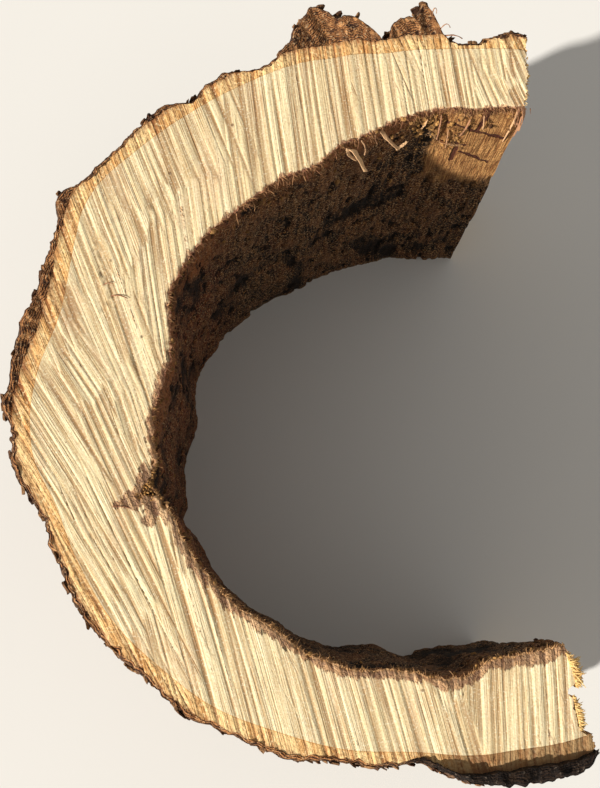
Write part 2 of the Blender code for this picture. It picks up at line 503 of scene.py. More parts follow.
def rim_hole(angle, depth):
    """1 in the middle of the small hole in the wall just below the rim, and 0 away from it."""
    hole_angle, hole_depth = RIM_HOLE
    return np.exp(-(((angle - hole_angle) / 0.019) ** 2) - ((depth - hole_depth) / (6.5 * MM)) ** 2)


def hollow_relief(angle, depth, across):
    """How far the rotted wall is worn back at each point, in metres."""
    arc = angle * 0.2
    lumps = 2.8 * grain(arc / 0.045, depth / 0.07, seed=1.3)
    lumps = lumps + 1.6 * grain(arc / 0.016, depth / 0.03, seed=5.9)
    fibres = 0.8 * grain(arc / 0.0032, depth / 0.045, seed=2.4)
    pits = 2.4 * smooth(0.15, 0.55, grain(arc / 0.007, depth / 0.013, seed=9.1))
    torn = 1.2 * grain(arc / 0.0045, depth / 0.02, seed=7.7)
    torn = torn + 0.8 * grain(arc / 0.0019, depth / 0.01, seed=3.6)
    below = smooth(0.0, 0.03, depth)
    sound = smooth(0.09, 0.11, across) * (np.sin(angle) > 0) * smooth(0.13, 0.09, depth)
    relief = below * (lumps + fibres + pits) + (1 - 0.6 * below) * torn
    return MM * (1 - 0.8 * sound) * (relief + 1.5 * rim_hole(angle, depth))


def hollow_wall(angle, depth):
    """The rotted wall's distance from the mouth at a depth, and the painted shade for its recesses: how
    far it is worn back there, with painted darkness added in the pocket and the small hole.
    """
    radius = radius_along(HOLLOW, angle)
    across = MOUTH[0] + radius * np.cos(angle)
    inward = on_arms(across, angle, UPPER_ARM_FOOT, LOWER_ARM_FOOT) * depth / LENGTH
    relief = hollow_relief(angle, depth, across)
    # Painted shade only: the pocket and the small hole darken the colour by these amounts, but the mesh
    # is not cut back by them.
    pocket = 3.4 * MM * np.exp(-(((angle - POCKET_ANGLE) / 0.05) ** 2)) * smooth(0.06, 0.0, depth)
    return radius - inward + relief, relief + pocket + 3.5 * MM * rim_hole(angle, depth)


def on_hollow(angle, depth, proud, lower_by=0.0):
    """A point that stands so far proud of the rotted wall, or in it where that is below 0."""
    radius = hollow_wall(np.array([angle]), np.array([depth]))[0][0]
    return placed(angle, radius - proud, LENGTH - depth - lower_by)[0]


def tip_shift(across, depth, seed):
    """How far a split face stands out or in: long steps and fibres that run up the grain."""
    steps = 2.2 * grain(across / 0.22, depth / 0.3, seed=seed)
    steps = steps + 1.1 * grain(across / 0.07, depth / 0.12, seed=seed + 3)
    fibres = 0.8 * grain(across / 0.030, depth / 0.05, seed=seed + 5)
    bristles = 1.3 * grain(across / 0.045, depth / 0.012, seed=seed + 9) * smooth(0.02, 0.0, depth)
    return MM * (steps + fibres + bristles)


def wood_points(unit, depth):
    """A unit block bent into the wall of wood, and the angle of each point round the mouth."""
    along, across = unit[:, 0], unit[:, 1]
    first = polar(BARK)[0][0]
    last = polar(HOLLOW)[0][-1] * (1 - across) + polar(CAMBIUM)[0][-1] * across
    angle = first + along * (last - first)
    inner, relief = hollow_wall(angle, depth)
    outer = radius_along(CAMBIUM, angle) + FLARE * (depth / LENGTH) ** 2
    radius = inner + across * (outer - inner)
    for end, side, seed in ((0, -1, 11.0), (1, 1, 31.0)):
        near = np.clip(1 - np.abs(along - end) * (last - first) * 0.2 / 0.014, 0, 1)
        touched = near > 0
        shift = tip_shift(across[touched], depth[touched], seed)
        if end:
            notch = np.exp(-(((across[touched] - 0.5) / 0.06) ** 2)) * smooth(0.035, 0.0, depth[touched])
            dent = smooth(0.42, 0.56, across[touched]) * smooth(1.01, 0.94, across[touched])
            bulge = smooth(0.02, 0.12, across[touched]) * smooth(0.5, 0.4, across[touched])
            step = 1.5 * bulge - 3.6 * dent * smooth(0.06, 0.0, depth[touched])
            shift = shift + MM * (step - 2.4 * notch)
        angle[touched] += side * near[touched] * shift / radius[touched]
    # The last value is the painted shade for the hollow's recesses, in millimetres.
    return placed(angle, radius, LENGTH - depth), angle, radius - inner, relief / MM


def wood_faces(middle):
    """Each face's material: 0 for sawn wood, 1 for the rotted hollow, 2 for the split tips."""
    kind = np.zeros(len(middle))
    kind[middle[:, 1] < EDGE] = 1
    kind[at_ends(middle)] = 2
    return kind


def sawn_end(materials):
    """The slab at the top of the wood, grooved by the saw, with rot pits near the hollow."""
    piece, unit, middle = block("sawn_end", (10, 96), (88,), (5,))
    depth = SLAB * (1 - unit[:, 2])
    points, angle, from_hollow, recess_shade = wood_points(unit, depth)
    shown = unit[:, 2] > EDGE
    x, y = points[shown, :2].T
    height, ridge, shares = saw_relief(x, y)
    deep, dark = pitted(x, y)
    rim = smooth(2.5 * MM, 0.0, from_hollow[shown])
    chipped = rim * (0.9 + 0.9 * grain(x / 0.003, y / 0.003, seed=5.1)) * MM
    points[shown, 2] += (height - deep - chipped) * unit[shown, 2]
    set_points(piece.data, points)
    stain = stained(x, y, angle[shown], from_hollow[shown] / MM)
    paint(piece.data, "recess_shade", recess_shade)
    paint_part(piece.data, shown, {"ridge": ridge, "pit": dark, "stain": stain, "rim": rim}, shares)
    dress(piece, materials, wood_faces(middle))
    thin_out(piece, middle[:, 2] < EDGE, 0.03)


def wood_wall(materials):
    """The wall of sound wood below the slab, rotted inside the hollow and split at both tips."""
    piece, unit, middle = block("wood_wall", (7, 100), (40,), (90,))
    hidden = (middle[:, 1] > 1 - EDGE) | (middle[:, 2] < EDGE) | (middle[:, 2] > 1 - EDGE)
    depth = SLAB + (LENGTH - SLAB) * (1 - unit[:, 2]) ** 1.3
    points, _, _, recess_shade = wood_points(unit, depth)
    set_points(piece.data, points)
    paint(piece.data, "recess_shade", recess_shade)
    underneath = unit[:, 2] < EDGE
    _, ridge, shares = saw_relief(*points[underneath, :2].T)
    paint_part(piece.data, underneath, {"ridge": ridge}, shares)
    dress(piece, materials, wood_faces(middle))
    thin_out(piece, hidden, 0.04)


# ---------------------------------------------------------------- the bark


def bark_skin(angle, depth):
    """The bark's outline at a depth, and how high it stands between furrow (0) and plate (1)."""
    drift = 0.030 * np.sin(math.tau * (depth / 0.34 + angle / 3)) * depth / LENGTH
    sawn = radius_along(BARK, angle + drift) - radius_along(CAMBIUM, angle + drift)
    arc = angle * 0.22
    bend = 0.010 * grain(depth / 0.09, arc / 0.06, seed=2.0)
    plates = np.abs(grain((arc + bend) / 0.019, depth / 0.085, seed=4.4))
    cracks = np.abs(grain(arc / 0.030, (depth + 0.4 * bend) / 0.024, seed=7.9))
    furrow = smooth(0.0, 0.30, plates) * (0.72 + 0.28 * smooth(0.0, 0.22, cracks))
    layers = grain(arc / 0.012, depth / 0.030, seed=1.1) * 1.6 + furrow * 5
    layered = np.floor(layers) + smooth(0.55, 1.0, layers - np.floor(layers))
    rough = 1.0 * grain(arc / 0.0045, depth / 0.011, seed=8.8)
    rough = rough + 0.7 * grain(arc / 0.0024, depth / 0.005, seed=6.1)
    fade = smooth(0.0, 0.045, depth)
    broken = 2.2 * grain(arc / 0.0062, depth / 0.009, seed=3.8) * smooth(0.03, 0.0, depth)
    relief = MM * ((furrow - 0.62) * 8.5 * fade + (layered - layers) * 1.3 + rough + broken)
    thick = np.maximum(sawn + relief, 0.0055)
    return radius_along(CAMBIUM, angle) + FLARE * (depth / LENGTH) ** 2, thick, furrow


def inner_thickness(along, angle, depth, thick):
    """How thick the inner bark is, under at least a thin crust of outer bark.

    Below the sawn end it is thin, so that the furrows never reach it; at the tips it shows.
    """
    wave = grain(angle / 0.05, depth / 0.02, seed=9.4)
    wave = wave + 0.6 * grain(angle / 0.018, depth / 0.01, seed=2.2)
    under_crust = thick - (3.1 + 1.3 * wave) * MM
    full = np.maximum(np.minimum(INNER_BARK + 1.5 * MM * wave, under_crust), 2.5 * MM)
    hidden = smooth(0.012, 0.04, depth) * smooth(0.004, 0.02, np.minimum(along, 1 - along))
    return full * (1 - hidden) + 1.2 * MM * hidden


def bark_angles(unit, depth, radius=0.23):
    """Angles round the mouth for a unit block of bark, with ragged split ends."""
    first, last = polar(BARK)[0][[0, -1]]
    angle = first + unit[:, 0] * (last - first)
    for end, side, seed in ((0, -1, 51.0), (1, 1, 71.0)):
        near = np.clip(1 - np.abs(unit[:, 0] - end) * (last - first) * radius / 0.012, 0, 1)
        touched = near > 0
        shift = tip_shift(unit[touched, 1] * 0.3, depth[touched], seed)
        angle[touched] += side * near[touched] * shift / radius
    return angle


def inner_bark(material):
    """The band of orange inner bark round the wood, streaked by the saw."""
    piece, unit, middle = block("inner_bark", (10, 96), (12,), (24,))
    hidden = (middle[:, 1] < EDGE) | (middle[:, 2] < EDGE) | (middle[:, 1] > 1 - EDGE)
    depth = LENGTH * (1 - unit[:, 2]) ** 2.0
    angle = bark_angles(unit, depth)
    inside, thick, _ = bark_skin(angle, depth)
    thick = inner_thickness(unit[:, 0], angle, depth, thick) + 0.6 * MM
    from_wood = unit[:, 1] * thick
    points = placed(angle, inside - 0.4 * MM + from_wood, LENGTH - depth)
    sawn = 0.012  # how far down the sawn face's relief is still felt
    shown = (depth < sawn) | (unit[:, 2] < EDGE)
    x, y = points[shown, :2].T
    height, ridge, shares = saw_relief(x, y, 1.15)
    height = height - 0.35 * MM + 0.25 * MM * grain(x / 0.002, y / 0.002, seed=6.3)
    points[shown, 2] += height * np.maximum(1 - depth[shown] / sawn, 0)
    set_points(piece.data, points)
    paint_part(piece.data, shown, {"ridge": ridge}, shares)
    paint(piece.data, "from_wood", from_wood / MM)
    dress(piece, [material])
    thin_out(piece, hidden, 0.1)


def outer_bark(materials):
    """Dark, furrowed, flaking bark: a thin crust in most places and thick plates at the top."""
    piece, unit, middle = block("outer_bark", (7, 95), (16,), (90,))
    depth = LENGTH * (1 - unit[:, 2]) ** 1.15
    angle = bark_angles(unit, depth)
    inside, thick, furrow = bark_skin(angle, depth)
    inner = inner_thickness(unit[:, 0], angle, depth, thick)
    crust = thick - inner
    points = placed(angle, inside + inner + unit[:, 1] * crust, LENGTH - depth)
    sawn = 0.014
    shown = (depth < sawn) | (unit[:, 2] < EDGE)
    x, y = points[shown, :2].T
    height, ridge, _ = saw_relief(x, y)
    from_skin = (crust * (1 - unit[:, 1]))[shown]
    layers = from_skin / (1.7 * MM) + 1.2 * grain(x / 0.006, y / 0.006, seed=4.9)
    steps = np.abs(layers - np.floor(layers) - 0.5)
    crumbs = 0.9 * grain(x / 0.0036, y / 0.0036, seed=3.3)
    crumbs = crumbs + 1.3 * grain(x / 0.009, y / 0.009, seed=5.5)
    rounded = -2.2 * smooth(2.6 * MM, 0.0, from_skin)
    lower_arm = smooth(0.070, 0.105, x) * smooth(-0.1, -0.16, y)
    proud = 9.6 * lower_arm * (0.75 + 0.4 * grain(x / 0.012, y / 0.012, seed=7.2))
    height = height * 0.8 + MM * (crumbs + 1.1 * steps - 0.9 + rounded + np.minimum(proud, 9.0))
    points[shown, 2] += np.minimum(height, 8.3 * MM) * np.maximum(1 - depth[shown] / sawn, 0)
    set_points(piece.data, points)
    paint_part(piece.data, shown, {"ridge": ridge, "layers": layers})
    paint(piece.data, "from_skin", crust * (1 - unit[:, 1]) / MM)
    paint(piece.data, "furrow", furrow)
    skin_faces = (middle[:, 1] > 1 - EDGE) | at_ends(middle)
    dress(piece, materials, skin_faces)
    thin_out(piece, (middle[:, 1] < EDGE) | (middle[:, 2] < EDGE), 0.04)


# ---------------------------------------------------------------- fibres, splinters, flakes and crumbs


def rim_fibres(shape):
    """Short torn fibres all along the hollow's rim, pulled over by the saw."""
    first, last = polar(HOLLOW)[0][[0, -1]]
    all_round = chance.uniform(first, last, RIM_FIBRES)
    torn = [chance.normal(angle, spread, number) for angle, spread, number in TORN_RIM]
    for angle in np.concatenate((all_round, *torn)):
        lower = math.sin(angle) < -0.2
        depth = chance.uniform(0.2, 3.5) * MM
        base = on_hollow(angle, depth, -0.8 * MM)
        outward, beside = round_mouth(angle)
        sideways = beside * chance.normal(0, 0.5)
        reach = (0.7 + chance.gamma(1.6, 0.75)) * MM * (0.8 if lower else 1.35)
        rise = chance.uniform(-0.6, 0.25)
        way = sideways - outward + (0, 0, rise)
        end = base + way * reach + (0, 0, -0.5 * reach * chance.random())
        middle = base + way * reach * 0.6 + chance.normal(0, 0.25, 3) * reach
        width = chance.uniform(0.22, 0.5) * MM
        tone = chance.uniform(0.45, 1.0) if lower else chance.uniform(0.0, 0.6)
        yield laid(shape, (base, middle, end), width, width * 0.7), tone


def on_upper_wall(x, depth, proud):
    """A point in front of the hollow's wall on the upper arm, for an x and a depth."""
    angle = np.linspace(1.4, 2.9, 400)
    depths = np.full(400, depth)
    inner = placed(angle, hollow_wall(angle, depths)[0], LENGTH - depths)
    nearest = np.abs(inner[:, 0] - x).argmin()
    return inner[nearest] - (0, proud, 0)


def splinters(shape):
    """Larger slivers: curled ones at the upper rim, thin ones down its wall and a few on top."""
    slivers = [
        (np.array(path) * MM + (0, 0, LENGTH), width, thick, tone)
        for width, thick, tone, *path in SLIVERS
    ]
    for ends in WALL_SLIVERS:
        x_from, depth_from, x_to, depth_to = np.array(ends) * MM
        middle = on_upper_wall((x_from + x_to) / 2, (depth_from + depth_to) / 2, 0.003)
        path = (on_upper_wall(x_from, depth_from, 0.001), middle, on_upper_wall(x_to, depth_to, 0.0))
        slivers.append((path, chance.uniform(0.5, 0.9), 0.4, chance.uniform(0.2, 0.8)))
    for number, (path, width, thick, tone) in enumerate(slivers):
        rough = bumps(shape, (0.8, 0, 6), (0, number * 3.1, 0), noise.noise_vector)
        points = laid(shape, path, 1.25 * width * MM, 0.7 * thick * MM)
        yield points + 0.55 * width * MM * rough, tone


def tip_bristles(shape):
    """Tufts of bright fibres that stand out of the two split ends near the top."""
    for start, end, number, longest in TUFTS:
        for share in chance.random(number):
            height = LENGTH - chance.gamma(1.3, 4.0) * MM
            base = np.array((*(np.array(start) + share * (np.array(end) - start)), height))
            base = base - (0.0032, 0, 0)
            clump = 0.25 + 0.75 * math.sin(math.pi * share)
            clump *= 0.8 + 0.2 * math.sin(share * 23 + 7 * start[0])
            beside = chance.normal(0, 0.42) - (start[1] < 0) * 0.12
            way = np.array((1.0, beside, chance.normal(0.1, 0.4)))
            reach = chance.uniform(0.3, 1.0) * longest * clump * MM
            middle = base + way * reach * 0.5 + (0, 0, 0.2 * reach)
            point = base + way * reach * 0.9 + (0, 0, -0.2 * reach)
            point[2] = min(point[2], LENGTH + 0.001)
            width = chance.uniform(0.35, 0.7) * MM
            bent = laid(shape, (base, middle, point), width, width * 0.8)
            yield bent, chance.uniform(0.3, 1.0)


def flake():
    """A small plate with worn corners and edges."""
    deselect()
    bpy.ops.mesh.primitive_cube_add(size=1)
    piece = bpy.context.object
    for axis in (0, 1):
        cut_along(piece, axis, 4)
    points = points_of(piece.data)
    corner = np.abs(points[:, 0]) ** 3 + np.abs(points[:, 1]) ** 3
    points[:, :2] *= (1 - 0.9 * corner)[:, None]
    points[:, 2] *= 1 - 1.2 * corner
    set_points(piece.data, points)
    return piece


def bark_flakes(shape):
    """Loose plates of bark, in steps up the grain and crowded along the sawn edge."""
    first, last = polar(BARK)[0][[0, -1]]
    for number in range(BARK_FLAKES):
        angle = chance.uniform(first + 0.01, last - 0.01)
        near_top = number % 2 == 0
        depth = chance.uniform(5, 28) * MM if near_top else chance.uniform(0.04, 0.97) * LENGTH
        inside, thick, _ = bark_skin(np.array([angle]), np.array([depth]))
        radius = inside[0] + thick[0]
        long, wide = chance.uniform(5, 15) * MM, chance.uniform(3, 8) * MM
        depth = max(depth, 0.45 * long)
        tall = chance.uniform(0.8, 2.2) * MM
        rough = bumps(shape, 2.3, (number * 1.7, 0, 0), noise.noise_vector)
        local = (shape + 0.22 * rough) * (wide, long, tall)
        turn = chance.normal(0, 0.35)
        lean, roll = chance.normal(0, 0.14), chance.normal(0, 0.16)
        across = local[:, 0] * math.cos(turn) - local[:, 1] * math.sin(turn)
        up = local[:, 0] * math.sin(turn) + local[:, 1] * math.cos(turn)
        out = local[:, 2] + up * lean + across * roll
        outward, beside = round_mouth(angle)
        middle = placed(angle, radius + 0.1 * tall, LENGTH - depth)[0]
        points = middle + out[:, None] * outward + across[:, None] * beside + up[:, None] * (0, 0, 1)
        points[:, 2] = np.clip(points[:, 2], 0.0005, LENGTH - 0.0005)
        yield points, chance.random()


def crumb_spots():
    """Each crumb's angle, depth below the sawn end (or reach over it, below 0), size and tone."""
    first, last = polar(HOLLOW)[0][[0, -1]]
    for _ in range(300):
        depth = min(chance.gamma(1.3, 16) * MM, 0.27)
        yield chance.uniform(first, last), depth, chance.uniform(0.5, 1.7), chance.uniform(0, 0.6)
    for number, angle, spread, deep, sizes, tones in CRUMB_CLUSTERS:
        for _ in range(number):
            spot = chance.normal(angle, spread), deep() * MM
            yield *spot, chance.uniform(*sizes), chance.uniform(*tones)


def ball():
    deselect()
    bpy.ops.mesh.primitive_ico_sphere_add(subdivisions=2, radius=1)
    return bpy.context.object


def rot_crumbs(shape):
    """Crumbs of rotted wood that cling to the wall of the hollow, most of them near its rim."""
    for number, (angle, depth, size, tone) in enumerate(list(crumb_spots())):
        below, beyond = max(depth, 0), max(-depth, 0)
        middle = on_hollow(angle, below, 0.2 * size * MM - beyond, max(0.001 - below, 0))
        rough = bumps(shape, 1.1, (number * 2.3, 0, 0), noise.noise)[:, None]
        stretch = chance.uniform(0.6, 1.4, 3)
        yield middle + shape * (1 + 0.7 * rough) * stretch * size * MM, tone


# ---------------------------------------------------------------- finishes


def operator(name, swapped=False):
    """Arithmetic on wires, as a node that does it."""

    def apply(wire, other):
        pair = (other, wire) if swapped else (wire, other)
        return wire.finish_of.math(name, *pair)

    return apply


class Wire:
    """A number that a material works out at each point, used in plain arithmetic."""

    __add__ = operator("ADD")
    __radd__ = operator("ADD", swapped=True)
    __sub__ = operator("SUBTRACT")
    __rsub__ = operator("SUBTRACT", swapped=True)
    __mul__ = operator("MULTIPLY")
    __rmul__ = operator("MULTIPLY", swapped=True)
    __truediv__ = operator("DIVIDE")
    most = operator("MAXIMUM")

    def __init__(self, finish_of, socket):
        self.finish_of = finish_of
        self.socket = socket

    def step(self, low, high):
        """0 below low, 1 above high and a soft step between, or the reverse."""
        settings = {"interpolation_type": "SMOOTHSTEP"}
        return self.finish_of.node("ShaderNodeMapRange", settings, {0: self, 1: low, 2: high})

    def clear(self):
        """Kept between 0 and 1."""
        return self.finish_of.node("ShaderNodeClamp", {}, {0: self})


class Finish:
    """A material being made: every node in it comes from one method."""

    def __init__(self, name, roughness):
        self.material = bpy.data.materials.new(name)
        self.material.use_nodes = True
        self.tree = self.material.node_tree
        self.shader = self.tree.nodes["Principled BSDF"]
        self.shader.inputs["Roughness"].default_value = roughness
        self.shader.inputs["Specular IOR Level"].default_value = 0.25
        self.place = self.node("ShaderNodeTexCoord", {}, {}, "Object")
        parts = (self.node("ShaderNodeSeparateXYZ", {}, {0: self.place}, axis) for axis in range(3))
        self.x, self.y, self.z = parts

    def node(self, kind, settings, inputs, output=0):
        made = self.tree.nodes.new(kind)
        for key, value in settings.items():
            setattr(made, key, value)
        for key, value in inputs.items():
            if isinstance(value, Wire):
                self.tree.links.new(value.socket, made.inputs[key])
            else:
                made.inputs[key].default_value = value
        return Wire(self, made.outputs[output])

    def math(self, operation, *values):
        return self.node("ShaderNodeMath", {"operation": operation}, dict(enumerate(values)))

    def painted(self, name):
        return self.node("ShaderNodeAttribute", {"attribute_name": name}, {}, "Fac")

    def vector(self, x, y, z=0.0):
        return self.node("ShaderNodeCombineXYZ", {}, {0: x, 1: y, 2: z})

    def noise(self, vector, scale=1.0, detail=2.0, roughness=0.5):
        inputs = {"Vector": vector, "Scale": scale, "Detail": detail, "Roughness": roughness}
        return self.node("ShaderNodeTexNoise", {}, inputs, "Fac")

    def stretched(self, x, y, z=0.0, **settings):
        """Noise with its own scale along each of the log's axes."""
        return self.noise(self.vector(self.x * x, self.y * y, self.z * z), **settings)

    def cells(self, vector, scale):
        return self.node("ShaderNodeTexVoronoi", {}, {"Vector": vector, "Scale": scale}, "Distance")

    def mix(self, factor, first, second):
        """A colour between two, which are given as colours or as wires."""
        return self.node("ShaderNodeMix", {"data_type": "RGBA"}, {0: factor, 6: first, 7: second}, 2)

    def coats(self, colour, *coats):
        """A colour under coats of others, each as (where it lies, how strong it is, its colour)."""
        for where, strength, coat in coats:
            colour = self.mix(where * strength, colour, rgb(*coat))
        return colour

    def done(self, colour, height=None, distance=0.0, strength=1.0):
        """Gives the material its colour, and its bumps if it has any."""
        self.tree.links.new(colour.socket, self.shader.inputs["Base Color"])
        if height:
            inputs = {"Height": height, "Distance": distance, "Strength": strength}
            bumps = self.node("ShaderNodeBump", {}, inputs, "Normal")
            self.tree.links.new(bumps.socket, self.shader.inputs["Normal"])
        return self.material


def rgb(red, green, blue):
    """A colour from its 0 to 255 screen values."""
    screen = (v / 255 for v in (red, green, blue))
    return (*(((v + 0.055) / 1.055) ** 2.4 if v > 10 / 255 else v / 12.92 for v in screen), 1.0)


def saw_lines(finish_of):
    """Streaks along the saw's strokes at three widths, from each set by its share."""
    kinds = ((150, 3, 0, 1.0), (480, 6, 9, 2.0), (1300, 26, 20, 2.0))
    lines = [0.0] * len(kinds)
    for which in range(len(STROKES)):
        across, along = stroke_place(which, finish_of.x, finish_of.y)
        share = finish_of.painted(f"strokes_{which}")
        for kind, (fine, long, seed, detail) in enumerate(kinds):
            place = finish_of.vector(across * fine, along * long, which + seed)
            lines[kind] = lines[kind] + share * finish_of.noise(place, detail=detail)
    return lines


def sawn_wood():
    """Cream sapwood, cut across by a chainsaw, stained purple-brown where it meets the rot, with painted
    shade in the saw's grooves and painted highlight on their crests.
    """
    wood = Finish("sawn_wood", 0.75)
    broad, middle, fine = saw_lines(wood)
    ridge = wood.painted("ridge")
    lively = 1.0 - wood.noise(wood.vector(wood.x * 34, wood.y * 13, 5.0)).step(0.46, 0.6) * 0.75
    pores = wood.noise(wood.place, 900.0, detail=1.0)
    speck = wood.cells(wood.place, 55.0).step(0.085, 0.03) * wood.noise(wood.place, 30.0).step(0.5, 0.58)
    colour = wood.coats(
        wood.mix(broad.step(0.35, 0.65), rgb(222, 197, 150), rgb(241, 222, 176)),
        # Painted highlight: the middle streaks are also the bump's height, so their crests are paler.
        (middle.step(0.42, 0.66), 0.6, (249, 236, 198)),
        (wood.stretched(45, 14).step(0.52, 0.7), 0.35, (224, 184, 146)),
        # Painted shade: darker in the saw's grooves where the ridge is low, and in the valleys of the
        # middle and fine streaks.
        (ridge.step(0.62, 0.12), 0.78, (146, 104, 60)),
        (middle.step(0.45, 0.32) * lively, 0.5, (170, 122, 72)),
        (fine.step(0.47, 0.34) * lively, 0.5, (150, 104, 58)),
        (pores.step(0.42, 0.3), 0.35, (182, 142, 94)),
        (pores.step(0.58, 0.7), 0.4, (255, 246, 216)),
        (wood.stretched(75, 45, detail=4.0).step(0.64, 0.76), 0.35, (166, 140, 110)),
        (speck, 0.8, (104, 76, 50)),
    )
    ragged = (wood.noise(wood.place, 150.0, detail=4.0) - 0.5) * 0.9
    ragged = ragged + (middle - 0.5) * 1.7 + (broad - 0.5) * 1.3
    stain = (wood.painted("stain") + ragged).step(0.44, 0.66)
    dirt = wood.noise(wood.place, 260.0, detail=3.0).step(0.35, 0.65)
    stained_colour = wood.coats(
        wood.mix(dirt, rgb(130, 78, 54), rgb(186, 136, 94)),
        # Painted shade and highlight in the stain too: darker in the valleys and grooves, paler on the
        # crests.
        (middle.step(0.47, 0.36), 0.7, (92, 46, 36)),
        (middle.step(0.53, 0.64), 0.7, (222, 180, 132)),
        (ridge.step(0.75, 0.25), 0.8, (70, 34, 28)),
    )
    colour = wood.mix(stain * 0.82, colour, stained_colour)
    crumb = wood.noise(wood.place, 620.0).step(0.42, 0.62)
    rot_and_hole_shade = wood.mix(crumb.step(0.55, 0.95), rgb(14, 8, 6), rgb(176, 124, 70))
    # The rot's colour and painted shade: holes are tan-brown at first and nearly black in the deepest,
    # darker the deeper the hole.
    pit = wood.painted("pit")
    colour = wood.coats(colour, (pit.step(0.05, 0.4), 0.6, (150, 106, 60)))
    colour = wood.mix((pit + (crumb - 0.5) * 0.35).step(0.28, 0.55), colour, rot_and_hole_shade)
    rim = (wood.painted("rim") + (crumb - 0.5) * 0.5).clear()
    rim_colour = wood.mix(wood.y.step(-0.10, 0.0), rgb(214, 168, 116), rgb(150, 88, 66))
    relief = middle * 0.5 + fine * lively * 0.35 + pores * 0.12 + crumb * stain * 0.35
    return wood.done(wood.mix(rim * 0.6, colour, rim_colour), relief, 0.0013, 1.0)


def line_mask(finish_of, across, depth, start, end, half_width):
    """1 on a thin wandering line between two places on the upper arm's wall and 0 off it."""
    (x_from, depth_from), (x_to, depth_to) = start, end
    span_x, span_depth = x_to - x_from, depth_to - depth_from
    along = (across - x_from) * span_x + (depth - depth_from) * span_depth
    share = (along / (span_x**2 + span_depth**2)).clear()
    off_x = across - x_from - share * span_x
    off_depth = depth - depth_from - share * span_depth
    away = finish_of.math("SQRT", off_x * off_x + off_depth * off_depth)
    return away.step(half_width, half_width * 0.45)


def rotted_wood():
    """Dark brown, punky wood inside the hollow, paler and sounder by the upper arm's end, with painted
    shade deeper down and in its recesses and painted bounce light just below the rim.
    """
    rot = Finish("rotted_wood", 0.9)
    depth = LENGTH - rot.z
    lengthwise = rot.stretched(420, 420, 28, detail=3.0, roughness=0.6)
    mottle = rot.stretched(60, 60, 30, detail=4.0, roughness=0.65)
    clods = rot.stretched(150, 150, 90, detail=4.0, roughness=0.6)
    crumbs = rot.noise(rot.place, 620.0, detail=3.0)
    specks = rot.noise(rot.place, 760.0, detail=1.0)
    left = rot.x.step(-0.03, -0.07)
    dark = rot.mix(mottle.step(0.43, 0.57), rgb(24, 14, 9), rgb(104, 64, 38))
    brown = rot.mix(mottle.step(0.42, 0.58), rgb(66, 36, 20), rgb(144, 92, 52))
    uneven = (lengthwise - 0.5) * 0.03 + (mottle - 0.5) * 0.05
    # The band just below the rim, deeper on the left wall, that gets painted bounce light.
    bounce_lit_rim = (depth + uneven).step(0.020, 0.010)
    bounce_lit_rim = bounce_lit_rim.most((depth + uneven).step(0.062, 0.040) * left)
    rough = 1.0 - bounce_lit_rim * 0.6
    recess_shade = rot.painted("recess_shade") + (crumbs - 0.5) * 2.0
    foot = (depth + (crumbs - 0.5) * 0.004).step(LENGTH - 0.0045, LENGTH - 0.0020)
    colour = rot.coats(
        # Painted shade: the wall is coloured dark more than about 60 mm down the hollow and browner
        # within about 20 mm of the rim.
        rot.mix((depth + (mottle - 0.5) * 0.07).step(0.062, 0.02), dark, brown),
        (left, 0.6, (132, 58, 30)),
        # Painted light: a paler band where light bounces in below the rim.
        (bounce_lit_rim, 0.75, (158, 96, 52)),
        (clods.step(0.5, 0.6) * rough, 0.7, (20, 12, 8)),
        (clods.step(0.43, 0.36), 0.4, (150, 104, 64)),
        (lengthwise.step(0.48, 0.68), 0.6, (142, 98, 58)),
        (lengthwise.step(0.46, 0.34), 0.7, (24, 14, 9)),
        (crumbs.step(0.55, 0.63) * rough, 0.75, (16, 9, 6)),
        (crumbs.step(0.43, 0.34) * rough, 0.75, (202, 146, 88)),
        (specks.step(0.59, 0.66) * rough, 0.8, (206, 168, 124)),
        (specks.step(0.42, 0.34) * rough, 0.8, (12, 7, 5)),
        # Painted shade in the recesses, nearly black where the wall is worn back furthest, and painted
        # highlight where it stands proud.
        (recess_shade.step(0.3, 2.2), 0.92, (11, 7, 5)),
        (recess_shade.step(-0.6, -2.6), 0.45, (136, 92, 58)),
        (foot, 0.5, (142, 112, 84)),
    )
    edge = (mottle - 0.5) * 0.05 + (lengthwise - 0.5) * 0.012
    upper_arm = rot.y.step(0.12, 0.15)
    sound = (rot.x + edge).step(0.092, 0.104) * upper_arm
    sound = sound * (depth + edge * 2.0).step(0.125, 0.095)
    fine = rot.stretched(1100, 300, 60)
    tan = rot.coats(
        rot.mix(fine.step(0.36, 0.62), rgb(132, 86, 46), rgb(196, 146, 90)),
        (rot.stretched(60, 60, 520, detail=1.0).step(0.5, 0.64), 0.45, (120, 78, 42)),
        (mottle.step(0.5, 0.7), 0.5, (138, 96, 56)),
    )
    colour = rot.mix(sound, colour, tan)
    across = rot.x + (rot.noise(rot.place, 120.0) - 0.5) * 0.002
    down = depth + (rot.noise(rot.place, 150.0) - 0.5) * 0.008
    cracks = line_mask(rot, across, down, *CRACKS[0])
    for crack in CRACKS[1:]:
        cracks = cracks.most(line_mask(rot, across, down, *crack))
    cracks = cracks * rot.x.step(0.096, 0.102) * upper_arm
    colour = rot.coats(colour, (cracks, 0.92, (70, 26, 18)))
    relief = lengthwise * 0.7 + crumbs * 0.7 + mottle - clods * (1.0 - sound)
    return rot.done(colour, relief - cracks * 1.2 + fine * sound * 0.3, 0.0026, 1.0)


